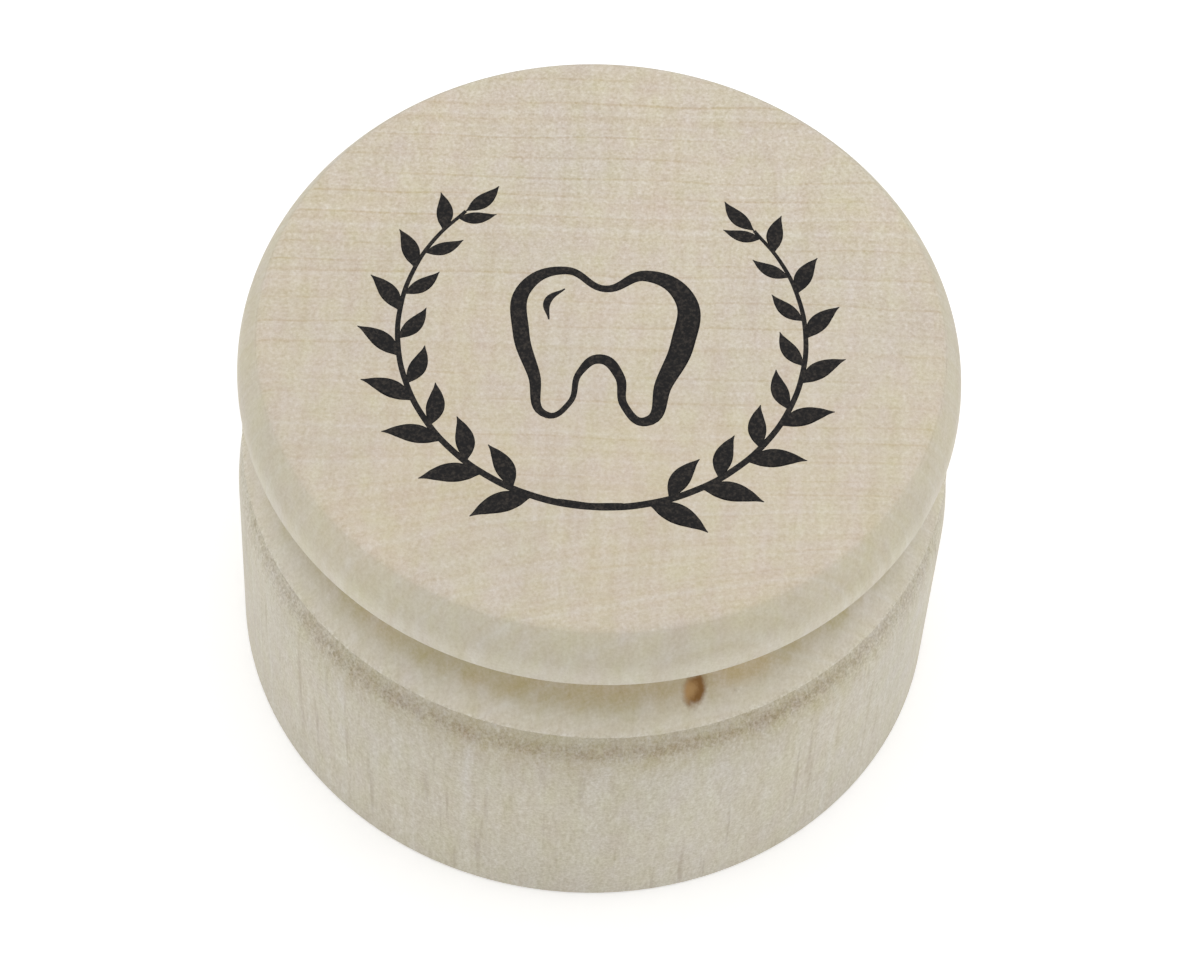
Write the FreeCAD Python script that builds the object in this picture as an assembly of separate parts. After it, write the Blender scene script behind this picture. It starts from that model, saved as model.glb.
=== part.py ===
import FreeCAD, Part
import math
import os

# Turned wooden box for a child's milk teeth: a pot, and a lid whose spigot pushes into the pot's bore.
# Millimetres. The origin is the centre of the base, and +Z runs up the turning axis.

# Driving dimensions of the pot, from the base up
WALL_RADIUS = 22.8         # straight lower wall
BASE_BREAK = 0.25          # rounding where the wall meets the base
WALL_HEIGHT = 14.8         # base to the foot of the shoulder
SHOULDER_HEIGHT = 2.7      # foot of the shoulder to the lip of the groove
SHOULDER_DROP = 0.35       # how far the wall draws in over that height
GROOVE_HEIGHT = 2.2        # lip of the groove to the ring's underside
GROOVE_DEPTH = 0.8         # ring's edge in to the root of the groove
RING_INSET = 0.2           # how far the ring's edge stands inside the wall
COVE_HEIGHT = 6.4          # ring's edge up to the mouth
COVE_DEPTH = 2.9           # ring's edge in to the neck, under the lid
SEAT_WIDTH = 3.1           # flat face of the mouth that carries the lid
MOUTH_BEVEL = 0.5          # bevel that leads the spigot into the bore
FLOOR_THICKNESS = 5.0      # wood under the bore
FLOOR_ROUNDING = 1.5       # inner corner between the bore and its floor

# Driving dimensions of the lid
LID_INSET = 0.1            # how far the lid's lower edge stands inside the ring's edge
LID_THICKNESS = 4.4        # seat to the top face
RIM_DRAW_IN = 1.35         # lid's lower edge in to the edge of the top face
RIM_CROWN = 0.55           # how far the side of the rim swells out between those two edges
FACE_BREAK = 0.5           # rounding where the top face meets the side
RIM_BREAK = 0.2            # rounding of the lower edge
SPIGOT_LENGTH = 6.0        # plug below the seat
SPIGOT_LEAD = 0.8          # bevel at the end of the plug
SPIGOT_CLEARANCE = 0.06    # radial gap of the push fit

# Radii and heights that follow
lip_radius = WALL_RADIUS - SHOULDER_DROP
ring_radius = WALL_RADIUS - RING_INSET
groove_radius = ring_radius - GROOVE_DEPTH
neck_radius = ring_radius - COVE_DEPTH
bore_radius = neck_radius - SEAT_WIDTH
lid_radius = ring_radius - LID_INSET
face_radius = lid_radius - RIM_DRAW_IN
spigot_radius = bore_radius - SPIGOT_CLEARANCE

lip_height = WALL_HEIGHT + SHOULDER_HEIGHT
ring_height = lip_height + GROOVE_HEIGHT
mouth_height = ring_height + COVE_HEIGHT
top_height = mouth_height + LID_THICKNESS
spigot_height = mouth_height - SPIGOT_LENGTH

AXIS_FOOT = FreeCAD.Vector(0, 0, 0)
AXIS = FreeCAD.Vector(0, 0, 1)
FULL_TURN = 360
SAME_PLACE = 1e-4          # how near an edge must be to a corner to be taken for it


def on_profile(corner):
    """Point of the half profile at a (radius, height) corner."""
    radius, height = corner
    return FreeCAD.Vector(radius, 0, height)


def line(start, end):
    """Straight stretch of the half profile."""
    return Part.makeLine(on_profile(start), on_profile(end))


def arc(start, middle, end):
    """Round stretch of the half profile through three corners."""
    return Part.Arc(on_profile(start), on_profile(middle), on_profile(end)).toShape()


def upright_arc(upright_end, far_end):
    """Arc that stands upright at one end and bends in or out to the other."""
    depth = far_end[0] - upright_end[0]
    height = far_end[1] - upright_end[1]
    arc_radius = (depth ** 2 + height ** 2) / (2 * abs(depth))
    half_rise = height / 2
    bend = arc_radius - (arc_radius ** 2 - half_rise ** 2) ** 0.5
    middle = (upright_end[0] + math.copysign(bend, depth), upright_end[1] + half_rise)
    return arc(upright_end, middle, far_end)


def crowned(start, end, crown):
    """Convex arc that swells out beyond the straight line between two corners."""
    middle = ((start[0] + end[0]) / 2 + crown, (start[1] + end[1]) / 2)
    return arc(start, middle, end)


def turned(profile):
    """Solid swept by a closed half profile about the turning axis."""
    face = Part.Face(Part.Wire(Part.__sortEdges__(profile)))
    return face.revolve(AXIS_FOOT, AXIS, FULL_TURN)


def edges_at(solid, corner):
    """The circular edges that a corner of the profile swept."""
    radius, height = corner
    circles = [edge for edge in solid.Edges if isinstance(edge.Curve, Part.Circle)]
    return [
        edge for edge in circles
        if abs(edge.Curve.Radius - radius) < SAME_PLACE and abs(edge.Curve.Center.z - height) < SAME_PLACE
    ]


def rounded(solid, corner, rounding):
    return solid.makeFillet(rounding, edges_at(solid, corner))


def bevelled(solid, corner, bevel):
    return solid.makeChamfer(bevel, edges_at(solid, corner))


def make_pot():
    base_centre = (0, 0)
    base_edge = (WALL_RADIUS, 0)
    wall_top = (WALL_RADIUS, WALL_HEIGHT)
    groove_lip = (lip_radius, lip_height)
    groove_root = (groove_radius, ring_height)
    ring_edge = (ring_radius, ring_height)
    neck = (neck_radius, mouth_height)
    mouth_edge = (bore_radius, mouth_height)
    floor_corner = (bore_radius, FLOOR_THICKNESS)
    floor_centre = (0, FLOOR_THICKNESS)
    pot = turned([
        line(base_centre, base_edge),
        line(base_edge, wall_top),
        upright_arc(wall_top, groove_lip),
        upright_arc(groove_root, groove_lip),
        line(groove_root, ring_edge),
        upright_arc(neck, ring_edge),
        line(neck, mouth_edge),
        line(mouth_edge, floor_corner),
        line(floor_corner, floor_centre),
        line(floor_centre, base_centre),
    ])
    pot = rounded(pot, base_edge, BASE_BREAK)
    pot = rounded(pot, floor_corner, FLOOR_ROUNDING)
    return bevelled(pot, mouth_edge, MOUTH_BEVEL)


def make_lid():
    spigot_centre = (0, spigot_height)
    spigot_edge = (spigot_radius, spigot_height)
    spigot_root = (spigot_radius, mouth_height)
    rim_edge = (lid_radius, mouth_height)
    face_edge = (face_radius, top_height)
    face_centre = (0, top_height)
    lid = turned([
        line(spigot_centre, spigot_edge),
        line(spigot_edge, spigot_root),
        line(spigot_root, rim_edge),
        crowned(rim_edge, face_edge, RIM_CROWN),
        line(face_edge, face_centre),
        line(face_centre, spigot_centre),
    ])
    lid = rounded(lid, face_edge, FACE_BREAK)
    lid = rounded(lid, rim_edge, RIM_BREAK)
    return bevelled(lid, spigot_edge, SPIGOT_LEAD)


os.makedirs("parts", exist_ok=True)
for name, solid in (("pot", make_pot()), ("lid", make_lid())):
    solid.exportStep("parts/" + name + ".step")
    print(name, "volume", round(solid.Volume), "mm3, valid", solid.isValid(), "solids", len(solid.Solids))
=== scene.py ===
# %% [markdown]
# # A turned wooden box for milk teeth
# The object is two turned pieces of pale wood: a pot with a ring and a hollow under its mouth, and a lid
# whose plug pushes into the pot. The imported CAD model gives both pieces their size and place. This lesson
# turns the same two shapes again in Blender, with the torn grain, softened edges, wood figure and printed
# ornament that a plain solid hasn't got.

# %% Load the frame
import bmesh
import bpy
from math import atan2, cos, degrees, hypot, pi, radians, sin
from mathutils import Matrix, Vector


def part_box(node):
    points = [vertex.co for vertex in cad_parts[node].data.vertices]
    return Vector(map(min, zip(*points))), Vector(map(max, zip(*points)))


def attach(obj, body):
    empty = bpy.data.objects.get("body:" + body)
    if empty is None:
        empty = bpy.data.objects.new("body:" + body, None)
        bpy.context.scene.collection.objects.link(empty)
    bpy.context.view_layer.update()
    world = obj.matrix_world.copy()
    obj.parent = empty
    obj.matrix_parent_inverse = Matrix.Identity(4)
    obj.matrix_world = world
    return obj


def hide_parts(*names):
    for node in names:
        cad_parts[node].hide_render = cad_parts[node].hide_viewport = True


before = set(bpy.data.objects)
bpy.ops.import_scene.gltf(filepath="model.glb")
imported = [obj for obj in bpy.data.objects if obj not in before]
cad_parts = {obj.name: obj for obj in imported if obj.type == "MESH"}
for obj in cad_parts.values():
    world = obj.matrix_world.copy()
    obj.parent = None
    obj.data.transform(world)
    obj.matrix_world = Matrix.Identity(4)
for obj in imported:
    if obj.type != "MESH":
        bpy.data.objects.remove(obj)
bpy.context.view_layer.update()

from types import SimpleNamespace

MM = 0.001


def in_mm(point):
    """Place in millimetres, short enough to print."""
    return [round(value / MM, 2) for value in point]


# %% [markdown]
# ## The camera
# The box is seen from above and in front with a long lens, so its circles are nearly true ellipses.
# A camera could be turned by hand until it looks right. Here it gets a point to aim at, a height angle,
# a distance and a slight tilt of the frame, so each of these can be corrected on its own.

# %% Place the camera
CAMERA_AIM = Vector((0.49, 0, 14.09)) * MM
CAMERA_ELEVATION = radians(56.99)
CAMERA_DISTANCE = 291.4 * MM
CAMERA_TILT = radians(3.94)
CAMERA_LENS = 135
SENSOR_WIDTH = 36


def deselect():
    """Lets go of everything, so that the next operator acts on its own piece alone."""
    bpy.ops.object.select_all(action="DESELECT")


deselect()
bpy.ops.object.camera_add()
camera = bpy.context.object
camera.rotation_mode = "ZYX"
camera.rotation_euler = (pi / 2 - CAMERA_ELEVATION, 0, CAMERA_TILT)
towards_camera = Vector((0, -cos(CAMERA_ELEVATION), sin(CAMERA_ELEVATION)))
camera.location = CAMERA_AIM + towards_camera * CAMERA_DISTANCE
camera.data.lens = CAMERA_LENS
camera.data.sensor_width = SENSOR_WIDTH
camera.data.clip_start = MM
bpy.context.scene.camera = camera
bpy.context.scene.view_settings.view_transform = "Standard"
print("camera at", in_mm(camera.location), "mm")

# %% [markdown]
# ## Floor and light
# Small wooden goods are often photographed in a white tent, where light comes from all sides and shadows
# nearly vanish. A bright world does the same here, and three soft lamps shape it: one above, and one on
# each side. More light on the floor would wash out the wood, so the white paper glows a little for the
# camera alone. That joins it to the white background, and a faint shadow stays under the box.

# %% Mix the white paper
FLOOR_WHITE = (0.90, 0.90, 0.90, 1)
WHITE = (1, 1, 1, 1)


def fill_sockets(tree, node, sockets):
    """Gives each named socket a plain value, or links another node's output to it."""
    for key, value in sockets.items():
        if isinstance(value, bpy.types.NodeSocket):
            tree.links.new(value, node.inputs[key])
        else:
            node.inputs[key].default_value = value


def new_material(name):
    """Material with nodes, its tree and its shader."""
    material = bpy.data.materials.new(name)
    material.use_nodes = True
    tree = material.node_tree
    return material, tree, tree.nodes["Principled BSDF"]


white_paper, paper_tree, paper_shader = new_material("white_paper")
fill_sockets(paper_tree, paper_shader, {
    "Base Color": FLOOR_WHITE,
    "Roughness": 1.0,
    "Specular IOR Level": 0.0,
    "Emission Color": WHITE,
})
print(white_paper.name, "has the colour", FLOOR_WHITE)

# %% Let the paper glow for the camera
PAPER_GLOW = 0.29


def add_node(tree, kind, sockets=None, **settings):
    """New node with its settings and its sockets."""
    node = tree.nodes.new(kind)
    for name, value in settings.items():
        setattr(node, name, value)
    fill_sockets(tree, node, sockets or {})
    return node


def calc(tree, operation, *values):
    """Result of a math node."""
    return add_node(tree, "ShaderNodeMath", dict(enumerate(values)), operation=operation).outputs["Value"]


def seen_directly(tree):
    """1 for what the camera sees, also in a mirror or through glass, and 0 for light on the object."""
    ray = add_node(tree, "ShaderNodeLightPath").outputs
    straight_or_mirrored = calc(tree, "MAXIMUM", ray["Is Camera Ray"], ray["Is Glossy Ray"])
    return calc(tree, "MAXIMUM", straight_or_mirrored, ray["Is Transmission Ray"])


fill_sockets(paper_tree, paper_shader, {
    "Emission Strength": calc(paper_tree, "MULTIPLY", seen_directly(paper_tree), PAPER_GLOW),
})
print(white_paper.name, "glows by", PAPER_GLOW, "with", len(paper_tree.nodes), "nodes")

# %% Lay the floor
FLOOR_SIZE = 2.0

deselect()
bpy.ops.mesh.primitive_plane_add(size=FLOOR_SIZE)
floor = bpy.context.object
floor.name = "floor"
floor.data.materials.append(white_paper)
print("floor:", in_mm(floor.dimensions), "mm")

# %% Hang the tent
TENT_LIGHT = 0.80
BACKDROP_LIGHT = 1.0

world = bpy.data.worlds.new("light_tent")
bpy.context.scene.world = world
world.use_nodes = True
world_tree = world.node_tree
tent = world_tree.nodes["Background"]
fill_sockets(world_tree, tent, {"Color": WHITE, "Strength": TENT_LIGHT})
backdrop = add_node(world_tree, "ShaderNodeBackground", {"Color": WHITE, "Strength": BACKDROP_LIGHT})
choose = add_node(world_tree, "ShaderNodeMixShader", {
    0: seen_directly(world_tree),
    1: tent.outputs["Background"],
    2: backdrop.outputs["Background"],
})
fill_sockets(world_tree, world_tree.nodes["World Output"], {"Surface": choose.outputs["Shader"]})
print("tent light", TENT_LIGHT, "and backdrop", BACKDROP_LIGHT)

# %% Hang the lamps


def hang_lamp(name, place, size, power):
    """Square soft lamp that faces the middle of the box."""
    deselect()
    bpy.ops.object.light_add(type="AREA", location=place)
    lamp = bpy.context.object
    lamp.name = name
    lamp.data.shape = "SQUARE"
    lamp.data.size = size
    lamp.data.energy = power
    lamp.rotation_euler = (CAMERA_AIM - Vector(place)).to_track_quat("-Z", "Y").to_euler()


hang_lamp("lamp_above", place=(0, 0.10, 0.60), size=0.60, power=0.6)
hang_lamp("lamp_left", place=(-0.60, 0.05, 0.30), size=0.50, power=0.45)
hang_lamp("lamp_right", place=(0.60, 0.05, 0.30), size=0.50, power=0.55)

# %% [markdown]
# ## The pot
# From the base up, the pot has a straight wall, a soft shoulder, a groove cut in under a ring, and a hollow
# that runs from the ring's edge to the neck. The bore inside is plain, with a flat floor. The frame gives
# the width of the wall and the height of the mouth. All other radii and heights follow from how far each
# feature steps in or up, in millimetres, so one size can change and the rest goes with it.

# %% Sizes of the pot
WALL_HEIGHT = 14.8
SHOULDER_HEIGHT = 2.7
SHOULDER_DROP = 0.35
GROOVE_HEIGHT = 2.2
GROOVE_DEPTH = 0.8
RING_INSET = 0.2
HOLLOW_DEPTH = 2.9
SEAT_WIDTH = 3.1
FLOOR_HEIGHT = 5.0


def to_micron(length):
    """Length of the frame in millimetres, rounded to a thousandth."""
    return round(length / MM, 3)


pot_low, pot_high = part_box("pot")
WALL_RADIUS = to_micron(pot_high.x)
MOUTH_HEIGHT = to_micron(pot_high.z)
LIP_RADIUS = WALL_RADIUS - SHOULDER_DROP
LIP_HEIGHT = WALL_HEIGHT + SHOULDER_HEIGHT
RING_RADIUS = WALL_RADIUS - RING_INSET
RING_HEIGHT = LIP_HEIGHT + GROOVE_HEIGHT
GROOVE_RADIUS = RING_RADIUS - GROOVE_DEPTH
NECK_RADIUS = RING_RADIUS - HOLLOW_DEPTH
BORE_RADIUS = NECK_RADIUS - SEAT_WIDTH
print("wall radius", WALL_RADIUS, "mm, ring at", RING_HEIGHT, "mm, mouth at", MOUTH_HEIGHT, "mm")

# %% [markdown]
# ## Drawing a profile to turn
# A turner holds a gouge against spinning wood, and the path of its tip becomes the profile of the piece.
# Blender's spin does the same with vertices. The profile is drawn like a line with a pencil: one vertex is
# extruded along each straight stretch, and spun about a centre for each round one. A cylinder with loops
# scaled in and out would do too, but then every curve would have to be guessed ring by ring.

# %% A pencil of one vertex
pencil = Vector((0, 0, 0))


def on_profile(corner):
    """Point of the half profile at a (radius, height) corner in millimetres."""
    radius, height = corner
    return Vector((radius, 0, height)) * MM


def start_profile(name, corner):
    """New object with one vertex, the tip of the pencil."""
    deselect()
    bpy.ops.mesh.primitive_plane_add(size=MM)
    piece = bpy.context.object
    piece.name = name
    bpy.ops.object.mode_set(mode="EDIT")
    bpy.ops.mesh.merge(type="CENTER")
    bpy.ops.transform.translate(value=on_profile(corner))
    pencil.xyz = on_profile(corner)
    return piece


def count_drawn(piece):
    """Vertices of a piece that is still in edit mode."""
    return len(bmesh.from_edit_mesh(piece.data).verts)


pot = start_profile("pot_wood", (0, 0))
print(pot.name, "starts with", count_drawn(pot), "vertex at", in_mm(pencil), "mm")

# %% Straight and round strokes


def line_to(corner, parts=1):
    """Straight stretch to a corner, in equal parts."""
    step = (on_profile(corner) - pencil) / parts
    for part in range(parts):
        bpy.ops.mesh.extrude_region_move(TRANSFORM_OT_translate={"value": step})
    pencil.xyz = on_profile(corner)


def arc_to(corner, centre, parts):
    """Round stretch to a corner about a centre, the short way round."""
    start = pencil - on_profile(centre)
    end = on_profile(corner) - on_profile(centre)
    angle = atan2(start.x, start.z) - atan2(end.x, end.z)
    angle = (angle + pi) % (2 * pi) - pi
    bpy.ops.mesh.spin(steps=parts, angle=angle, center=on_profile(centre), axis=(0, 1, 0))
    pencil.xyz = on_profile(corner)


base_edge = (WALL_RADIUS, 0)
wall_top = (WALL_RADIUS, WALL_HEIGHT)
line_to(base_edge, parts=8)
line_to(wall_top, parts=10)
print("base and wall:", count_drawn(pot), "vertices, pencil at", in_mm(pencil), "mm")

# %% [markdown]
# ## Shoulder, groove and hollow
# These three curves of the pot each stand upright at one end. The centre of such an arc lies level with
# that end, and its radius follows from how deep and how high the stretch is. Handles of a Bezier curve
# could be pulled to much the same line, but an arc meets the wall without a kink and needs no trial.

# %% Draw the curves, the mouth and the bore


def upright_centre(upright_end, far_end):
    """Centre of the arc that is upright at one end and bends in or out to the other."""
    depth = far_end[0] - upright_end[0]
    height = far_end[1] - upright_end[1]
    return (upright_end[0] + (depth ** 2 + height ** 2) / (2 * depth), upright_end[1])


groove_lip = (LIP_RADIUS, LIP_HEIGHT)
groove_root = (GROOVE_RADIUS, RING_HEIGHT)
ring_edge = (RING_RADIUS, RING_HEIGHT)
neck = (NECK_RADIUS, MOUTH_HEIGHT)
mouth_edge = (BORE_RADIUS, MOUTH_HEIGHT)
floor_corner = (BORE_RADIUS, FLOOR_HEIGHT)
arc_to(groove_lip, upright_centre(wall_top, groove_lip), parts=16)
arc_to(groove_root, upright_centre(groove_root, groove_lip), parts=16)
line_to(ring_edge, parts=4)
arc_to(neck, upright_centre(neck, ring_edge), parts=20)
line_to(mouth_edge, parts=4)
line_to(floor_corner, parts=8)
line_to((0, FLOOR_HEIGHT), parts=6)
print("whole profile:", count_drawn(pot), "vertices, pencil at", in_mm(pencil), "mm")

# %% Turn the pot
TURN_STEPS = 512
SAME_PLACE = 0.001 * MM


def turn_profile():
    """Spins the whole profile about the upright axis, and closes the seam and both poles."""
    bpy.ops.mesh.select_all(action="SELECT")
    bpy.ops.mesh.spin(steps=TURN_STEPS, angle=2 * pi, center=(0, 0, 0), axis=(0, 0, 1))
    bpy.ops.mesh.select_all(action="SELECT")
    bpy.ops.mesh.remove_doubles(threshold=SAME_PLACE)
    bpy.ops.mesh.normals_make_consistent(inside=False)


turn_profile()
step_angle = round(degrees(2 * pi / TURN_STEPS), 2)
print("turned in steps of", step_angle, "degrees:", count_drawn(pot), "vertices")

# %% [markdown]
# ## Softened corners
# Nothing that was sanded has a knife edge, and a thin line of light along each edge shows it. A Bevel
# modifier would round every corner alike. Here the ring of edges that one corner swept is selected by its
# place and bevelled on its own, so the base, the ring, the mouth and the bore's floor each get their width.

# %% Soften the pot's corners
BASE_BREAK = 0.25
RING_BREAK = 0.24
MOUTH_BEVEL = 0.5
FLOOR_ROUNDING = 1.5


def radius_of(point):
    """Distance from the turning axis in millimetres."""
    return hypot(point.x, point.y) / MM


def distance_to(point, corner):
    """Distance in millimetres from a corner of the profile, in the half plane of the point."""
    return hypot(radius_of(point) - corner[0], point.z / MM - corner[1])


def soften_corner(piece, corner, width, segments):
    """Bevels the ring of edges that one corner of the profile swept."""
    bpy.ops.mesh.select_all(action="DESELECT")
    mesh = bmesh.from_edit_mesh(piece.data)
    for vertex in mesh.verts:
        vertex.select = distance_to(vertex.co, corner) * MM < SAME_PLACE
    mesh.select_flush(True)
    bmesh.update_edit_mesh(piece.data)
    bpy.ops.mesh.bevel(offset=width * MM, segments=segments, affect="EDGES")


soften_corner(pot, base_edge, BASE_BREAK, segments=4)
soften_corner(pot, ring_edge, RING_BREAK, segments=5)
soften_corner(pot, mouth_edge, MOUTH_BEVEL, segments=3)
soften_corner(pot, floor_corner, FLOOR_ROUNDING, segments=6)
print("softened pot:", count_drawn(pot), "vertices")

# %% Shade the pot
CREASE_ANGLE = radians(32)


def count_open_edges(piece):
    """Edges that don't join exactly two faces. A closed mesh has none."""
    mesh = bmesh.new()
    mesh.from_mesh(piece.data)
    count = sum(1 for edge in mesh.edges if not edge.is_manifold)
    mesh.free()
    return count


def finish_turning(piece):
    """Leaves edit mode, and shades round surfaces smooth and corners crisp."""
    bpy.ops.object.mode_set(mode="OBJECT")
    bpy.ops.object.shade_smooth_by_angle(angle=CREASE_ANGLE)
    triangles = sum(len(face.vertices) - 2 for face in piece.data.polygons)
    print(piece.name, "has", triangles, "triangles and", count_open_edges(piece), "open edges")


finish_turning(pot)

# %% [markdown]
# ## The lid
# The lid is a disc with a swelling side, a sanded edge round its flat top, and a plug below. It is drawn
# and turned as the pot was, and its side is an arc through three points. Its top lies a hair under the
# height of the CAD lid, because the printed ornament has a thickness of its own and the two together
# should be no higher than the solid.

# %% Sizes of the lid
INK_THICKNESS = 0.02
LID_INSET = 0.1
RIM_DRAW_IN = 1.35
RIM_CROWN = 0.55
FACE_BORDER = 2.0
PLUG_CLEARANCE = 0.06
PLUG_LEAD = 0.8
RIM_BREAK = 0.2
FACE_BREAK = 0.36

lid_low, lid_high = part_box("lid")
PLUG_HEIGHT = to_micron(lid_low.z)
LID_HEIGHT = to_micron(lid_high.z)
TOP_HEIGHT = LID_HEIGHT - INK_THICKNESS
LID_RADIUS = RING_RADIUS - LID_INSET
FACE_RADIUS = LID_RADIUS - RIM_DRAW_IN
PLUG_RADIUS = BORE_RADIUS - PLUG_CLEARANCE
print("lid radius", LID_RADIUS, "mm, plug from", PLUG_HEIGHT, "mm, top at", TOP_HEIGHT, "mm")

# %% Turn the lid


def circle_centre(first, second, third):
    """Centre of the circle through three corners."""
    (ax, ay), (bx, by), (cx, cy) = first, second, third
    twice_area = 2 * (ax * (by - cy) + bx * (cy - ay) + cx * (ay - by))
    a2, b2, c2 = ax ** 2 + ay ** 2, bx ** 2 + by ** 2, cx ** 2 + cy ** 2
    x = (a2 * (by - cy) + b2 * (cy - ay) + c2 * (ay - by)) / twice_area
    y = (a2 * (cx - bx) + b2 * (ax - cx) + c2 * (bx - ax)) / twice_area
    return (x, y)


plug_edge = (PLUG_RADIUS, PLUG_HEIGHT)
rim_edge = (LID_RADIUS, MOUTH_HEIGHT)
face_edge = (FACE_RADIUS, TOP_HEIGHT)
rim_swell = ((LID_RADIUS + FACE_RADIUS) / 2 + RIM_CROWN, (MOUTH_HEIGHT + LID_HEIGHT) / 2)

lid = start_profile("lid_wood", (0, PLUG_HEIGHT))
line_to(plug_edge, parts=6)
line_to((PLUG_RADIUS, MOUTH_HEIGHT), parts=4)
line_to(rim_edge, parts=4)
arc_to(face_edge, circle_centre(rim_edge, rim_swell, face_edge), parts=16)
line_to((FACE_RADIUS - FACE_BORDER, TOP_HEIGHT), parts=4)
line_to((0, TOP_HEIGHT), parts=7)
turn_profile()
soften_corner(lid, plug_edge, PLUG_LEAD, segments=3)
soften_corner(lid, rim_edge, RIM_BREAK, segments=3)
soften_corner(lid, face_edge, FACE_BREAK, segments=6)
finish_turning(lid)

# %% [markdown]
# ## Torn grain
# Under the ring the tool cut across standing fibres and tore some of them out, so the groove and its lip
# are ragged. A bump in the material would leave the lip a perfect line, so the vertices themselves move.
# A Displace modifier with a cloud texture pushes them in, and a vertex group holds it to the groove.

# %% Find the torn part of the groove
TEAR_START = (LIP_HEIGHT - 1.6, LIP_HEIGHT - 0.2)
TEAR_END = (RING_HEIGHT - 0.5, RING_HEIGHT + 0.6)
SKIN = 0.1


def smooth_step(span, value):
    """Soft rise from 0 at the low end of a span to 1 at its high end."""
    low, high = span
    share = min(max((value - low) / (high - low), 0), 1)
    return share * share * (3 - 2 * share)


def is_outside(vertex):
    """Whether a vertex of the pot is on its outer surface, not on the seat or in the bore."""
    return radius_of(vertex.co) > NECK_RADIUS - SKIN


def torn_share(vertex):
    """1 where the groove is torn, fading out down the shoulder and over the ring's edge."""
    height = vertex.co.z / MM
    torn = smooth_step(TEAR_START, height) * (1 - smooth_step(TEAR_END, height))
    return torn if is_outside(vertex) else 0


torn_vertices = [vertex for vertex in pot.data.vertices if torn_share(vertex) > 0]
print("torn vertices:", len(torn_vertices), "of", len(pot.data.vertices))

# %% Tear the groove
TEAR_DEPTH = 0.13
TEAR_SIZE = 0.45
TEAR_OCTAVES = 3
TEAR_LEVEL = 0.75


def pick(*pieces):
    """Selects these pieces alone, and makes the first one active."""
    deselect()
    for piece in pieces:
        piece.select_set(True)
    bpy.context.view_layer.objects.active = pieces[0]


torn_group = pot.vertex_groups.new(name="torn_groove")
for vertex in torn_vertices:
    torn_group.add([vertex.index], torn_share(vertex), "REPLACE")
clouds = bpy.data.textures.new("torn_groove", "CLOUDS")
clouds.noise_scale = TEAR_SIZE * MM
clouds.noise_depth = TEAR_OCTAVES
pick(pot)
tear = pot.modifiers.new("torn_groove", "DISPLACE")
tear.texture = clouds
tear.texture_coords = "LOCAL"
tear.vertex_group = torn_group.name
tear.strength = TEAR_DEPTH * MM
tear.mid_level = TEAR_LEVEL
whole = [vertex.co.copy() for vertex in pot.data.vertices]
bpy.ops.object.modifier_apply(modifier=tear.name)
tears = [(vertex.co - place).length for vertex, place in zip(pot.data.vertices, whole)]
print("deepest tear:", round(max(tears) / MM, 3), "mm")

# %% [markdown]
# ## Marks for the wood's finish and painted light
# Some of the finish depends on the shape: end grain where the surface lies flat, painted light along the
# lower edges, torn fibres in the groove with a stain and painted shade, and a smooth hollow with warm
# painted shade under the lid.
# A material can't see the shape. These places could be painted by hand, but the heights and normals
# already say where they are, so the vertices carry shares as attributes and the wood's nodes read them.

# %% Mark end grain and painted edge light
LEVEL_NORMAL = (0.60, 0.96)
RING_EDGE_LIGHT = 0.6
RING_EDGE_LIGHT_FADE = (0, 2.2)
RIM_EDGE_LIGHT = 0.61
RIM_EDGE_LIGHT_FADE = (0.8, 2.5)


def mark(piece, name, share_of, *details):
    """Stores a share between 0 and 1 on every vertex."""
    layer = piece.data.attributes.new(name, "FLOAT", "POINT")
    for vertex, cell in zip(piece.data.vertices, layer.data):
        cell.value = share_of(vertex, *details)
    marked = sum(1 for cell in layer.data if cell.value > 0)
    print(piece.name, name, "on", marked, "vertices")


def end_grain_share(vertex):
    """1 on a level surface, which shows the fibres' ends, and 0 on an upright one."""
    return smooth_step(LEVEL_NORMAL, abs(vertex.normal.z))


def edge_light_share(vertex, edge, edge_light, fade):
    """Painted light, strongest on an edge of the profile, fading out on both sides of it."""
    return (1 - smooth_step(fade, distance_to(vertex.co, edge))) * edge_light


for piece in (pot, lid):
    mark(piece, "end_grain", end_grain_share)
# Painted light: a pale band along the ring's edge and along the lid's lower edge.
mark(pot, "painted_edge_light", edge_light_share, ring_edge, RING_EDGE_LIGHT, RING_EDGE_LIGHT_FADE)
mark(lid, "painted_edge_light", edge_light_share, rim_edge, RIM_EDGE_LIGHT, RIM_EDGE_LIGHT_FADE)

# %% Mark the groove
CREASE_REACH = (0.10, 0.90)
STAIN_AND_SHADE_START = (LIP_HEIGHT - 4.1, LIP_HEIGHT + 0.4)
STAIN_AND_SHADE_EASE = (LIP_HEIGHT, RING_HEIGHT - 0.3)
STAIN_AND_SHADE_EASING = 0.45
STAIN_AND_SHADE_TOP = RING_HEIGHT - 0.02


def crease_share(vertex):
    """Narrow band along the lip of the groove."""
    from_lip = abs(vertex.co.z / MM - LIP_HEIGHT)
    return 1 - smooth_step(CREASE_REACH, from_lip) if is_outside(vertex) else 0


def stain_and_shade_share(vertex):
    """Stain and painted shade of the groove, strongest on its lip, weaker up to the ring, and fading out
    down the wall.
    """
    height = vertex.co.z / MM
    stain_and_shade = smooth_step(STAIN_AND_SHADE_START, height) * (1 - STAIN_AND_SHADE_EASING * smooth_step(STAIN_AND_SHADE_EASE, height))
    return stain_and_shade if is_outside(vertex) and height < STAIN_AND_SHADE_TOP else 0


mark(pot, "torn", torn_share)
mark(pot, "crease", crease_share)
# The groove's darkening is partly its torn fibres' stain and partly painted shade under the ring.
mark(pot, "darkened", stain_and_shade_share)

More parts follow.
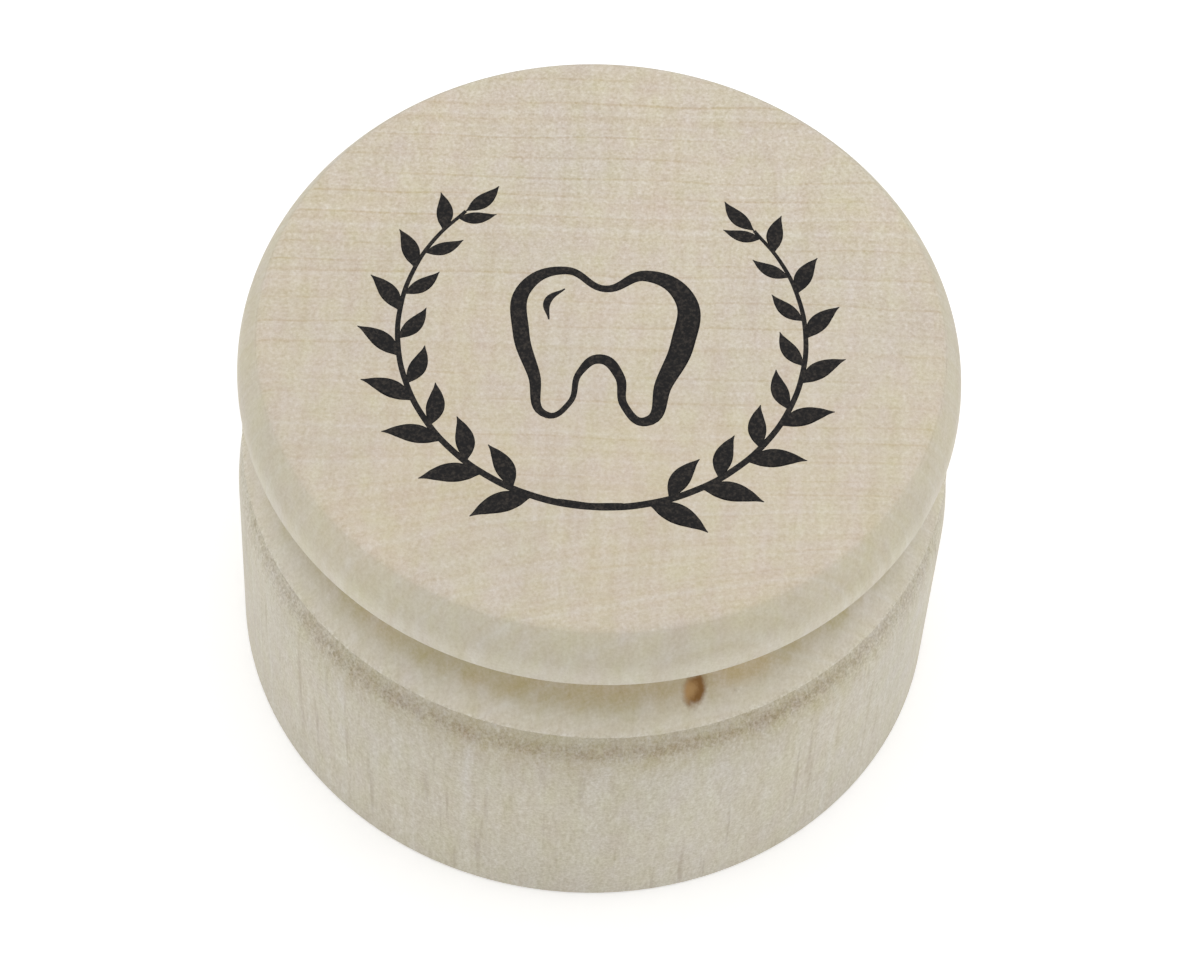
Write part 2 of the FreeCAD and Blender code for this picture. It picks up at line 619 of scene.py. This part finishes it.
# %% Mark the hollow
HOLLOW_START = (RING_HEIGHT, RING_HEIGHT + 0.4)
LID_SHADE_START = (RING_HEIGHT + 0.1, RING_HEIGHT + 3.1)
LID_SHADE_END = (MOUTH_HEIGHT - 3.1, MOUTH_HEIGHT + 1.2)


def hollow_share(vertex):
    """1 on the hollow, from the ring's edge up to the neck."""
    return smooth_step(HOLLOW_START, vertex.co.z / MM) if is_outside(vertex) else 0


def lid_shade_share(vertex):
    """Painted shade under the lid: rises from the ring's edge up the hollow, and fades again towards the
    neck.
    """
    height = vertex.co.z / MM
    shelter = smooth_step(LID_SHADE_START, height) * (1 - smooth_step(LID_SHADE_END, height))
    return shelter if is_outside(vertex) else 0


mark(pot, "hollow", hollow_share)
# Painted shade in the hollow, where the lid's overhang shades it.
mark(pot, "painted_lid_shade", lid_shade_share)

# %% [markdown]
# ## The printed ornament
# The top carries a small black print: a milk tooth in a wreath of leaves. Ink on wood is a thin film with
# clean edges, so it could be painted by the material. As a piece of its own it stays sharp at any distance.
# Each stroke of the brush is a curve whose radius swells and thins, made a mesh and pressed flat.

# %% Draw the tooth
INK_PRESS = 0.022
STROKE_SMOOTHNESS = 10
STROKE_ROUNDNESS = 2
TOOTH_HALF = [
    (0.0, 3.5, 0.26),
    (2.5, 4.7, 0.42),
    (4.9, 3.3, 0.66),
    (5.0, -0.2, 0.74),
    (4.0, -3.3, 0.56),
    (3.0, -6.2, 0.34),
    (1.7, -5.2, 0.26),
    (1.2, -2.9, 0.32),
    (0.0, -1.8, 0.36),
]
FAINT_SIDE = 0.7
TOOTH_GLINT = [(-3.35, 0.9, 0.05), (-3.5, 2.3, 0.24), (-2.5, 3.3, 0.05)]


def brush_stroke(name, points, closed=False):
    """Flat stroke through points of (x, y, half width) in millimetres."""
    deselect()
    bpy.ops.curve.primitive_bezier_curve_add()
    stroke = bpy.context.object
    stroke.name = name
    path = stroke.data.splines[0]
    path.bezier_points.add(len(points) - len(path.bezier_points))
    for bend, (x, y, half_width) in zip(path.bezier_points, points):
        bend.co = (x * MM, y * MM, 0)
        bend.handle_left_type = "AUTO"
        bend.handle_right_type = "AUTO"
        bend.radius = half_width
    path.use_cyclic_u = closed
    path.radius_interpolation = "CARDINAL"
    path.resolution_u = STROKE_SMOOTHNESS
    stroke.data.resolution_u = STROKE_SMOOTHNESS
    stroke.data.bevel_depth = MM
    stroke.data.bevel_resolution = STROKE_ROUNDNESS
    stroke.data.use_fill_caps = not closed
    bpy.ops.object.convert(target="MESH")
    stroke.scale.z = INK_PRESS
    bpy.ops.object.transform_apply(location=True, rotation=True, scale=True)
    return stroke


other_half = [(-x, y, half_width * FAINT_SIDE) for x, y, half_width in reversed(TOOTH_HALF[1:-1])]
tooth = brush_stroke("tooth", TOOTH_HALF + other_half, closed=True)
glint = brush_stroke("glint", TOOTH_GLINT)
print("tooth:", in_mm(tooth.dimensions), "mm")

# %% [markdown]
# ## The wreath
# Two branches curve round the tooth, each with leaves in pairs that grow smaller towards its tip. The stem
# is one stroke along an arc. One leaf is drawn and copied round the arc, turned outwards and inwards by
# turns, and the finished branch is mirrored, so that a change to the first leaf reaches them all.

# %% Draw a stem and a leaf
WREATH_RADIUS = 12.6
STEM_START = radians(-99)
STEM_STEP = radians(13)
STEM_POINTS = 12
STEM_WIDTH = 0.26
STEM_TAPER = 0.6
LEAF = [(0, 0, 0.04), (0.9, 0.12, 0.52), (2.0, 0.2, 0.72), (3.2, 0.1, 0.40), (4.1, -0.1, 0.03)]


def on_wreath(angle):
    """Point of the wreath's circle, in millimetres."""
    return Vector((cos(angle), sin(angle), 0)) * WREATH_RADIUS


stem_points = []
for step in range(STEM_POINTS):
    place = on_wreath(STEM_START + STEM_STEP * step)
    stem_points.append((place.x, place.y, STEM_WIDTH * (1 - STEM_TAPER * step / STEM_POINTS)))
stem = brush_stroke("stem", stem_points)
first_leaf = brush_stroke("leaf", LEAF)
print("stem:", in_mm(stem.dimensions), "mm, leaf:", in_mm(first_leaf.dimensions), "mm")

# %% Hang the leaves
LEAF_PAIRS = 8
LEAF_START = radians(-74)
LEAF_STEP = radians(15.5)
LEAF_STAGGER = radians(6)
LEAF_SPREAD = radians(40)
LEAF_SHRINK = 0.04
INNER_LEAF_SIZE = 0.85
TIP_LEAF_SIZE = 0.7


def hang_leaf(angle, turn, size):
    """Copy of the first leaf at an angle round the wreath, turned from the stem's own direction."""
    pick(first_leaf)
    bpy.ops.object.duplicate()
    leaf = bpy.context.object
    leaf.location = on_wreath(angle) * MM
    leaf.rotation_euler.z = angle + pi / 2 + turn
    leaf.scale = (size, size, size)
    bpy.ops.object.transform_apply(location=True, rotation=True, scale=True)
    return leaf


leaves = []
for pair in range(LEAF_PAIRS):
    angle = LEAF_START + LEAF_STEP * pair
    size = 1 - LEAF_SHRINK * pair
    leaves.append(hang_leaf(angle, -LEAF_SPREAD, size))
    leaves.append(hang_leaf(angle + LEAF_STAGGER, LEAF_SPREAD, size * INNER_LEAF_SIZE))
leaves.append(hang_leaf(STEM_START + STEM_STEP * (STEM_POINTS - 1), 0, TIP_LEAF_SIZE))
bpy.data.objects.remove(first_leaf)
print("leaves on one branch:", len(leaves))

# %% Mirror the branch and lay the print on the lid


def join(name, *pieces):
    """One object from several."""
    pick(*pieces)
    bpy.ops.object.join()
    pieces[0].name = name
    return pieces[0]


branch = join("branch", stem, *leaves)
mirror = branch.modifiers.new("other_branch", "MIRROR")
mirror.use_clip = False
mirror.use_mirror_merge = False
bpy.ops.object.modifier_apply(modifier=mirror.name)
lid_print = join("lid_print", branch, tooth, glint)
lid_print.location.z = TOP_HEIGHT * MM
bpy.ops.object.transform_apply(location=True, rotation=True, scale=True)
bpy.ops.object.mode_set(mode="EDIT")
bpy.ops.mesh.select_all(action="SELECT")
bpy.ops.mesh.normals_make_consistent(inside=False)
bpy.ops.object.mode_set(mode="OBJECT")
print_top = max(vertex.co.z for vertex in lid_print.data.vertices)
print("print:", len(lid_print.data.polygons), "faces, top at", to_micron(print_top), "mm")

# %% [markdown]
# ## The wood
# The wood is pale and fine, bare of varnish, with its fibres upright in the box. One solid figure runs
# through both pieces, as it does in a real blank. An image could be wrapped round each piece, but it would
# not run on from the top into the side, so the figure is made of noise in the object's own coordinates.
# The two finishes grow side by side. The lid's side is a touch darker and warmer, and sanded smoother.

# %% Start both finishes
PER_MM = 1 / MM
POT_SIDE = (0.592, 0.545, 0.440, 1)
LID_SIDE = (0.560, 0.508, 0.392, 1)
POT_STREAKS = 1.0
LID_STREAKS = 0.3
POT_SPECKLE = 1.4
LID_SPECKLE = 0.65


def mark_of(tree, name):
    """Share that the vertices carry under this name."""
    return add_node(tree, "ShaderNodeAttribute", attribute_name=name).outputs["Fac"]


def start_wood(name, side_colour, streakiness, side_speckle):
    """New finish with what its steps share, such as the place in the wood, and x and y in millimetres."""
    material, tree, shader = new_material(name)
    place = add_node(tree, "ShaderNodeTexCoord").outputs["Object"]
    split = add_node(tree, "ShaderNodeSeparateXYZ", {"Vector": place}).outputs
    return SimpleNamespace(
        material=material,
        tree=tree,
        shader=shader,
        place=place,
        x=calc(tree, "MULTIPLY", split["X"], PER_MM),
        y=calc(tree, "MULTIPLY", split["Y"], PER_MM),
        end_grain=mark_of(tree, "end_grain"),
        side_colour=side_colour,
        streakiness=streakiness,
        side_speckle=side_speckle,
        hue_share=1.0,
        grain={},
    )


pot_finish = start_wood("pot_wood_finish", POT_SIDE, POT_STREAKS, POT_SPECKLE)
lid_finish = start_wood("lid_wood_finish", LID_SIDE, LID_STREAKS, LID_SPECKLE)
finishes = (pot_finish, lid_finish)
print("finishes:", [wood.material.name for wood in finishes])

# %% [markdown]
# ## Growth layers
# Each year the tree adds a layer that ends in a fine darker line. The layers stand across the y axis, so
# the top shows them as lines from left to right, which lean over at the front. A wave texture would space
# them evenly. Here the way along y is bent by noise, and a Voronoi texture in one dimension cuts it into
# layers of uneven width. The lines come and go, and they are faint on the sides.

# %% Ramps and noise


def product(tree, first, *others):
    """Several values multiplied together."""
    for other in others:
        first = calc(tree, "MULTIPLY", first, other)
    return first


def ramp(tree, value, span, results=(0.0, 1.0)):
    """Value taken softly from a span to its two results, and held at both ends."""
    return add_node(tree, "ShaderNodeMapRange", {
        "Value": value,
        "From Min": span[0],
        "From Max": span[1],
        "To Min": results[0],
        "To Max": results[1],
    }, interpolation_type="SMOOTHSTEP", clamp=True).outputs["Result"]


def noise(tree, place, per_mm, detail=2.0, roughness=0.5, seed=0.0):
    """Cloudy noise between 0 and 1, with its own number of grains per millimetre along each axis."""
    scaled = add_node(tree, "ShaderNodeMapping", {
        "Vector": place,
        "Scale": tuple(count * PER_MM for count in per_mm),
        "Location": (seed, seed, seed),
    })
    return add_node(tree, "ShaderNodeTexNoise", {
        "Vector": scaled.outputs["Vector"],
        "Scale": 1.0,
        "Detail": detail,
        "Roughness": roughness,
    }).outputs["Fac"]


for wood in finishes:
    wood.wander = noise(wood.tree, wood.place, per_mm=(0.05, 0.08, 0.01))
    wood.fading = noise(wood.tree, wood.place, per_mm=(0.07, 0.7, 0.03), detail=1.0, seed=4.0)
    print(wood.material.name, "wanders and fades with", len(wood.tree.nodes), "nodes")

# %% Grow the layers
LAYERS_PER_MM = 0.62
LAYER_WANDER = 1.8
LEANING_FRONT = (-21, -8)
LAYER_LEAN = (0.33, 0.06)
LINE_WIDTH = 0.09
LINE_FADING = (0.30, 0.70)
LINE_DEPTH = (-18, 4)
FRONT_AND_BACK_LINES = (0.5, 1.0)
LINE_SLOPE = (0.4, 1.0)
SIDE_AND_TOP_LINES = (0.12, 1.0)
BANDS = {"Scale": 1.5, "Detail": 4.0, "Roughness": 0.6}


def grow_layers(wood):
    """Adds the dark line at the end of each year's growth, and the soft bands between the lines."""
    tree = wood.tree
    lean = ramp(tree, wood.y, LEANING_FRONT, LAYER_LEAN)
    bent = calc(tree, "MULTIPLY_ADD", wood.wander, LAYER_WANDER, wood.y)
    layer = calc(tree, "SUBTRACT", bent, product(tree, lean, wood.x))
    edges = add_node(tree, "ShaderNodeTexVoronoi", {
        "W": layer,
        "Scale": LAYERS_PER_MM,
    }, voronoi_dimensions="1D", feature="DISTANCE_TO_EDGE")
    wood.grain["lines"] = product(
        tree,
        ramp(tree, edges.outputs["Distance"], (0.0, LINE_WIDTH), (1.0, 0.0)),
        ramp(tree, wood.fading, LINE_FADING),
        ramp(tree, wood.y, LINE_DEPTH, FRONT_AND_BACK_LINES),
        ramp(tree, wood.end_grain, LINE_SLOPE, SIDE_AND_TOP_LINES),
    )
    bands = add_node(tree, "ShaderNodeTexNoise", {"W": layer, **BANDS}, noise_dimensions="1D")
    wood.grain["bands"] = bands.outputs["Fac"]


for wood in finishes:
    grow_layers(wood)
    print(wood.material.name, "has", list(wood.grain))

# %% [markdown]
# ## Grain of every size
# Close up, the wood is never one tone: pores and fuzz of a few tenths of a millimetre, rays and fibres of
# a millimetre, mottle and blotches of several. One noise with much detail would give them all the same
# shape. Each gets a noise of its own here, and those stretched along z give dots on the top and upright
# streaks on the side, as real fibres do.

# %% Add the grain
GRAIN = {
    "stipple": {"per_mm": (4.4, 4.4, 1.7), "detail": 3.0, "roughness": 0.7},
    "fuzz": {"per_mm": (5.2, 5.2, 5.2), "roughness": 0.7, "seed": 5.0},
    "rays": {"per_mm": (1.5, 0.12, 0.4), "seed": 17.0},
    "blotches": {"per_mm": (0.14, 0.14, 0.08), "seed": 23.0},
    "mottle": {"per_mm": (0.7, 0.45, 0.35), "seed": 57.0},
    "fibres": {"per_mm": (1.5, 1.5, 0.09), "seed": 9.0},
}

for wood in finishes:
    for name, look in GRAIN.items():
        wood.grain[name] = noise(wood.tree, wood.place, **look)
    print(wood.material.name, "has", list(wood.grain))

# %% Set the speckle and the streaks
WHOLE_SHARE = (0.0, 1.0)
HOLLOW_SPECKLE = 0.68
SPECKLE_DEPTH = (-14, 18)
FRONT_AND_BACK_SPECKLE = (0.90, 1.30)
DARK_FIBRES = (0.60, 0.74)
BLOTCH_EDGE = (0.40, 0.60)
PALE_AND_DARK_STREAKS = (0.25, 1.0)
UPRIGHT_LIMIT = (0.0, 0.02)


def swing(tree, value, share):
    """Noise whose swing about its middle is a share of what it was."""
    off_middle = calc(tree, "SUBTRACT", value, 0.5)
    return calc(tree, "MULTIPLY_ADD", off_middle, share, 0.5)


in_hollow = mark_of(pot_finish.tree, "hollow")
pot_finish.side_speckle = ramp(pot_finish.tree, in_hollow, WHOLE_SHARE, (POT_SPECKLE, HOLLOW_SPECKLE))
for wood in finishes:
    tree = wood.tree
    end_speckle = ramp(tree, wood.y, SPECKLE_DEPTH, FRONT_AND_BACK_SPECKLE)
    speckle = ramp(tree, wood.end_grain, WHOLE_SHARE, (wood.side_speckle, end_speckle))
    for name in ("stipple", "fuzz"):
        wood.grain[name] = swing(tree, wood.grain[name], speckle)
    wood.grain["streaks"] = product(
        tree,
        ramp(tree, wood.grain["fibres"], DARK_FIBRES),
        ramp(tree, wood.grain["blotches"], BLOTCH_EDGE, PALE_AND_DARK_STREAKS),
        ramp(tree, wood.end_grain, UPRIGHT_LIMIT, (wood.streakiness, 0.0)),
    )
    print(wood.material.name, "has", len(tree.nodes), "nodes")

# %% [markdown]
# ## Colour of the bare wood
# The fibres' ends are warmer than their sides, and painted light makes them paler towards the back and the
# right. Growth lines are tan, streaks are brown, and painted light makes a pale band along the lower edges.
# One colour ramp over all the noises would tie these to each other, so each colour is laid over the last
# like a thin wash, as strongly as its share says.

# %% Colour the bare wood
END_WARM = (0.593, 0.520, 0.408, 1)
END_LIT = (0.620, 0.548, 0.438, 1)
PAINTED_LIGHT_SPAN = (-20, 18)
PAINTED_LIGHT_TO_RIGHT = 0.6
EDGE_LIGHT_PALE = (0.70, 0.645, 0.525, 1)
EDGE_LIGHT_WASH = 0.92
GROWTH_TAN = (0.47, 0.355, 0.205, 1)
STREAK_BROWN = (0.35, 0.285, 0.20, 1)
GRAIN_WASH = 0.42


def blend(tree, share, first, second):
    """Colour between two others."""
    node = add_node(tree, "ShaderNodeMix", {0: share, 6: first, 7: second}, data_type="RGBA")
    return node.outputs[2]


def wash(wood, share, colour, strength=1.0):
    """Lays a colour over the wood, as strongly as a share says."""
    share = calc(wood.tree, "MULTIPLY", share, strength)
    wood.colour = blend(wood.tree, share, wood.colour, colour)


for wood in finishes:
    tree = wood.tree
    # Painted light: the end grain gets paler towards the back and the right.
    towards_light = calc(tree, "MULTIPLY_ADD", wood.x, PAINTED_LIGHT_TO_RIGHT, wood.y)
    end_colour = blend(tree, ramp(tree, towards_light, PAINTED_LIGHT_SPAN), END_WARM, END_LIT)
    wood.colour = blend(tree, wood.end_grain, wood.side_colour, end_colour)
    # Painted light: a pale band along the ring's edge and the lid's lower edge.
    wash(wood, mark_of(tree, "painted_edge_light"), EDGE_LIGHT_PALE, EDGE_LIGHT_WASH)
    wash(wood, wood.grain["lines"], GROWTH_TAN, GRAIN_WASH)
    wash(wood, wood.grain["streaks"], STREAK_BROWN, GRAIN_WASH)
    print(wood.material.name, "has", len(tree.nodes), "nodes")

# %% [markdown]
# ## Painted shade and stains of the pot
# Under the lid the hollow gets warm painted shade, tan and olive with a ragged edge. The torn fibres of the
# groove hold a brown that is partly a stain and partly painted shade under the ring, strongest at the
# front.
# A plain gradient would look sprayed on, so noise shifts the edge of the painted shade, and torn fibres
# break up the brown line. The same torn fibres roughen the groove.

# %% Paint shade into the hollow
LID_SHADE_WARM = (0.484, 0.399, 0.265, 1)
LID_SHADE_OLIVE = (0.455, 0.395, 0.255, 1)
PATCHINESS = 0.8
PATCH_EDGE = (0.1, 0.9)
LID_SHADE_EDGE = (0.0, 0.12)
OPEN_AND_LID_SHADE_HUE = (1.0, 0.5)

pot_tree = pot_finish.tree
pot_grain = pot_finish.grain
lid_shade_mark = mark_of(pot_tree, "painted_lid_shade")
patches = calc(pot_tree, "MULTIPLY_ADD", pot_grain["mottle"], PATCHINESS, -PATCHINESS / 2)
patchy = calc(pot_tree, "ADD", lid_shade_mark, patches)
painted_lid_shade = product(pot_tree, ramp(pot_tree, patchy, PATCH_EDGE), ramp(pot_tree, lid_shade_mark, LID_SHADE_EDGE))
lid_shade_warmth = ramp(pot_tree, pot_grain["blotches"], BLOTCH_EDGE)
# Painted shade under the lid, tan and olive with a ragged edge.
wash(pot_finish, painted_lid_shade, blend(pot_tree, lid_shade_warmth, LID_SHADE_OLIVE, LID_SHADE_WARM))
pot_finish.hue_share = ramp(pot_tree, painted_lid_shade, WHOLE_SHARE, OPEN_AND_LID_SHADE_HUE)
print("hollow stained:", len(pot_tree.nodes), "nodes")

# %% Stain, shade and roughen the groove
GROOVE_STAIN_AND_SHADE = (0.455, 0.392, 0.252, 1)
GROOVE_WASH = 0.55
CREASE_BROWN = (0.325, 0.238, 0.162, 1)
WHOLE_CREASE = 0.04
TORN_CREASE = 0.36
TORN_FIBRES = {"per_mm": (3.0, 3.0, 0.9), "detail": 3.0, "roughness": 0.75, "seed": 31.0}
TORN_EDGE = (0.36, 0.62)
STAIN_AND_SHADE_LEFT_END = (-21, -13)
LEFT_AND_FRONT_STAIN_AND_SHADE = (0.1, 1.0)
STAIN_AND_SHADE_RIGHT_END = (13, 21)
FRONT_AND_RIGHT_STAIN_AND_SHADE = (1.0, 0.3)
ROUGH_REACH = (6, 16)
CREASE_SPECKLE = 0.9
ROUGH_SPECKLE = 0.24

torn_fibres = ramp(pot_tree, noise(pot_tree, pot_finish.place, **TORN_FIBRES), TORN_EDGE)
torn = mark_of(pot_tree, "torn")
aside = calc(pot_tree, "ABSOLUTE", pot_finish.x)
stain_and_shade_reach = product(
    pot_tree,
    ramp(pot_tree, pot_finish.x, STAIN_AND_SHADE_LEFT_END, LEFT_AND_FRONT_STAIN_AND_SHADE),
    ramp(pot_tree, pot_finish.x, STAIN_AND_SHADE_RIGHT_END, FRONT_AND_RIGHT_STAIN_AND_SHADE),
)
# The groove's stain and painted shade, strongest at the front and fading to the left and the right.
wash(pot_finish, product(pot_tree, mark_of(pot_tree, "darkened"), stain_and_shade_reach), GROOVE_STAIN_AND_SHADE, GROOVE_WASH)
broken = calc(pot_tree, "MULTIPLY_ADD", torn_fibres, TORN_CREASE, WHOLE_CREASE)
crease = product(pot_tree, mark_of(pot_tree, "crease"), stain_and_shade_reach, broken)
wash(pot_finish, crease, CREASE_BROWN)

rough = product(pot_tree, torn, ramp(pot_tree, aside, ROUGH_REACH), ROUGH_SPECKLE)
groove_speckle = calc(pot_tree, "MULTIPLY_ADD", crease, CREASE_SPECKLE, rough)
pot_grain["groove_speckle"] = swing(pot_tree, pot_grain["fuzz"], groove_speckle)
pot_grain["tears"] = product(pot_tree, torn, torn_fibres)
print("groove stained:", len(pot_tree.nodes), "nodes")

# %% [markdown]
# ## Tone
# Every grain also moves the colour a little: dark pores are less grey, and mottle leans to pink or to
# green. Mixing in a colour for each would need many more washes. One Hue/Saturation node does it, with
# each grain's swing added up in its three sockets.

# %% Tone the wood
BRIGHTNESS_SWING = {
    "bands": 0.14,
    "rays": 0.15,
    "blotches": 0.10,
    "stipple": 0.36,
    "fuzz": 0.40,
    "groove_speckle": 1.0,
}
SATURATION_SWING = {
    "bands": -0.5,
    "rays": -0.4,
    "mottle": 0.35,
    "blotches": 0.3,
    "stipple": -0.6,
    "fuzz": -0.6,
}
SIDE_AND_END_HUE = (0.046, 0.064)


def add_up(wood, start, shares):
    """Start value plus a share of each grain that this wood has."""
    total = start
    for name, share in shares.items():
        if name in wood.grain:
            total = calc(wood.tree, "MULTIPLY_ADD", wood.grain[name], share, total)
    return total


def tone(wood, swings):
    """Level about 1, to which each grain adds its own swing about its middle."""
    middle = sum(size for name, size in swings.items() if name in wood.grain) / 2
    return add_up(wood, 1 - middle, swings)


for wood in finishes:
    hue_swing = ramp(wood.tree, wood.end_grain, WHOLE_SHARE, SIDE_AND_END_HUE)
    hue_swing = product(wood.tree, hue_swing, wood.hue_share)
    toned = add_node(wood.tree, "ShaderNodeHueSaturation", {
        "Color": wood.colour,
        "Hue": swing(wood.tree, wood.grain["mottle"], hue_swing),
        "Saturation": tone(wood, SATURATION_SWING),
        "Value": tone(wood, BRIGHTNESS_SWING),
    })
    wood.colour = toned.outputs["Color"]
    print(wood.material.name, "toned by", len(wood.grain), "grains")

# %% [markdown]
# ## The pin knot
# A thin twig once grew through the pot's blank, and its brown end shows in the hollow, half under the lid.
# It leans a little, and its lighter heart lies off its middle. It is a spot in one place, so a Mapping node
# centres, turns and stretches the wood's own coordinates on it, and the distance from there gives a dark
# rim and the heart. A small disc of its own would need a hollow cut to fit it.

# %% Grow the knot
KNOT_PLACE = Vector((7.14, -19.73, 21.75)) * MM
KNOT_TURN = radians(19.9)
KNOT_LEAN = radians(20)
KNOT_SIZE = Vector((0.68, 2.0, 1.0)) * MM
KNOT_DARK = (0.197, 0.091, 0.017, 1)
KNOT_HEART = (0.395, 0.235, 0.09, 1)
HEART_OFFSET = (0.5, 0, 0.12)
HEART_EDGE = (0.25, 0.95)
KNOT_EDGE = (0.65, 1.35)
FRAYING = {"per_mm": (1.8, 1.8, 0.9), "detail": 3.0, "roughness": 0.6, "seed": 41.0}
FRAY_DEPTH = 0.9

around_knot = add_node(pot_tree, "ShaderNodeMapping", {
    "Vector": pot_finish.place,
    "Location": KNOT_PLACE,
    "Rotation": (0, KNOT_LEAN, KNOT_TURN),
    "Scale": KNOT_SIZE,
}, vector_type="TEXTURE").outputs["Vector"]
off_knot = add_node(pot_tree, "ShaderNodeVectorMath", {0: around_knot, 1: HEART_OFFSET}, operation="ADD")
around_heart = off_knot.outputs["Vector"]
frayed = noise(pot_tree, pot_finish.place, **FRAYING)
fray = calc(pot_tree, "MULTIPLY_ADD", frayed, FRAY_DEPTH, -FRAY_DEPTH / 2)


def frayed_distance(centred):
    """Distance from a centred place, in knot sizes, made uneven by noise."""
    length = add_node(pot_tree, "ShaderNodeVectorMath", {0: centred}, operation="LENGTH").outputs["Value"]
    return calc(pot_tree, "ADD", length, fray)


off_heart = ramp(pot_tree, frayed_distance(around_heart), HEART_EDGE)
on_knot = ramp(pot_tree, frayed_distance(around_knot), KNOT_EDGE, (1.0, 0.0))
wash(pot_finish, on_knot, blend(pot_tree, off_heart, KNOT_HEART, KNOT_DARK))
print("knot at", in_mm(KNOT_PLACE), "mm, radius from the axis", round(radius_of(KNOT_PLACE), 2), "mm")

# %% [markdown]
# ## Relief and gloss
# Bare wood is dull, with a soft sheen from its loose fibre ends, and its pores lie a little below the
# surface. Real dents that fine would need millions of faces, so a Bump node tilts the light by the same
# grains that colour the wood. What is the same all over, such as sheen, is set on the shader itself.

# %% Finish the wood
RELIEF = {"stipple": -0.5, "streaks": -0.5, "fuzz": -0.4, "lines": -0.25, "tears": -2.0}
WOOD_BUMP = 0.6
WOOD_BUMP_DEPTH = 0.04 * MM
WOOD_ROUGHNESS = 0.55
PORE_ROUGHNESS = 0.25
WOOD_SHINE = {"Specular IOR Level": 0.3, "Sheen Weight": 0.12, "Sheen Roughness": 0.5}

for wood, piece in ((pot_finish, pot), (lid_finish, lid)):
    bump = add_node(wood.tree, "ShaderNodeBump", {
        "Strength": WOOD_BUMP,
        "Distance": WOOD_BUMP_DEPTH,
        "Height": add_up(wood, 0.0, RELIEF),
    })
    roughness = calc(wood.tree, "MULTIPLY_ADD", wood.grain["stipple"], PORE_ROUGHNESS, WOOD_ROUGHNESS)
    fill_sockets(wood.tree, wood.shader, {
        "Base Color": wood.colour,
        "Normal": bump.outputs["Normal"],
        "Roughness": roughness,
        **WOOD_SHINE,
    })
    piece.data.materials.append(wood.material)
    print(piece.name, "wears", wood.material.name, "with", len(wood.tree.nodes), "nodes")

# %% [markdown]
# ## The ink
# The print is black, and dull like ink that has sunk into wood. A flat black would look like a sticker,
# so the fine grain under it shows through as small changes of shade and gloss.

# %% Ink the print
INK_BLACK = (0.007, 0.0065, 0.0068, 1)
INK_WORN = (0.041, 0.0345, 0.029, 1)
INK_GRAIN = {"per_mm": (5.0, 5.0, 0.25), "detail": 3.0, "roughness": 0.65}
INK_WEAR = (0.42, 0.72)
INK_ROUGHNESS = 0.5
WORN_ROUGHNESS = 0.2
INK_BUMP = 0.4
INK_BUMP_DEPTH = 0.02 * MM
INK_SHINE = 0.15

ink, ink_tree, ink_shader = new_material("print_ink")
ink_place = add_node(ink_tree, "ShaderNodeTexCoord").outputs["Object"]
ink_grain = noise(ink_tree, ink_place, **INK_GRAIN)
ink_bump = add_node(ink_tree, "ShaderNodeBump", {
    "Strength": INK_BUMP,
    "Distance": INK_BUMP_DEPTH,
    "Height": ink_grain,
})
fill_sockets(ink_tree, ink_shader, {
    "Base Color": blend(ink_tree, ramp(ink_tree, ink_grain, INK_WEAR), INK_BLACK, INK_WORN),
    "Roughness": calc(ink_tree, "MULTIPLY_ADD", ink_grain, WORN_ROUGHNESS, INK_ROUGHNESS),
    "Normal": ink_bump.outputs["Normal"],
    "Specular IOR Level": INK_SHINE,
})
lid_print.data.materials.clear()
lid_print.data.materials.append(ink)
print(lid_print.name, "wears", ink.name, "with", len(ink_tree.nodes), "nodes")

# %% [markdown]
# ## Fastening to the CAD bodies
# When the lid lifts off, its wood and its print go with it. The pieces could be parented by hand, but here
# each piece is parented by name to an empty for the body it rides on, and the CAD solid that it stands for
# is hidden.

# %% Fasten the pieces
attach(pot, "pot")
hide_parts("pot")
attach(lid, "lid")
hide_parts("lid")
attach(lid_print, "lid")
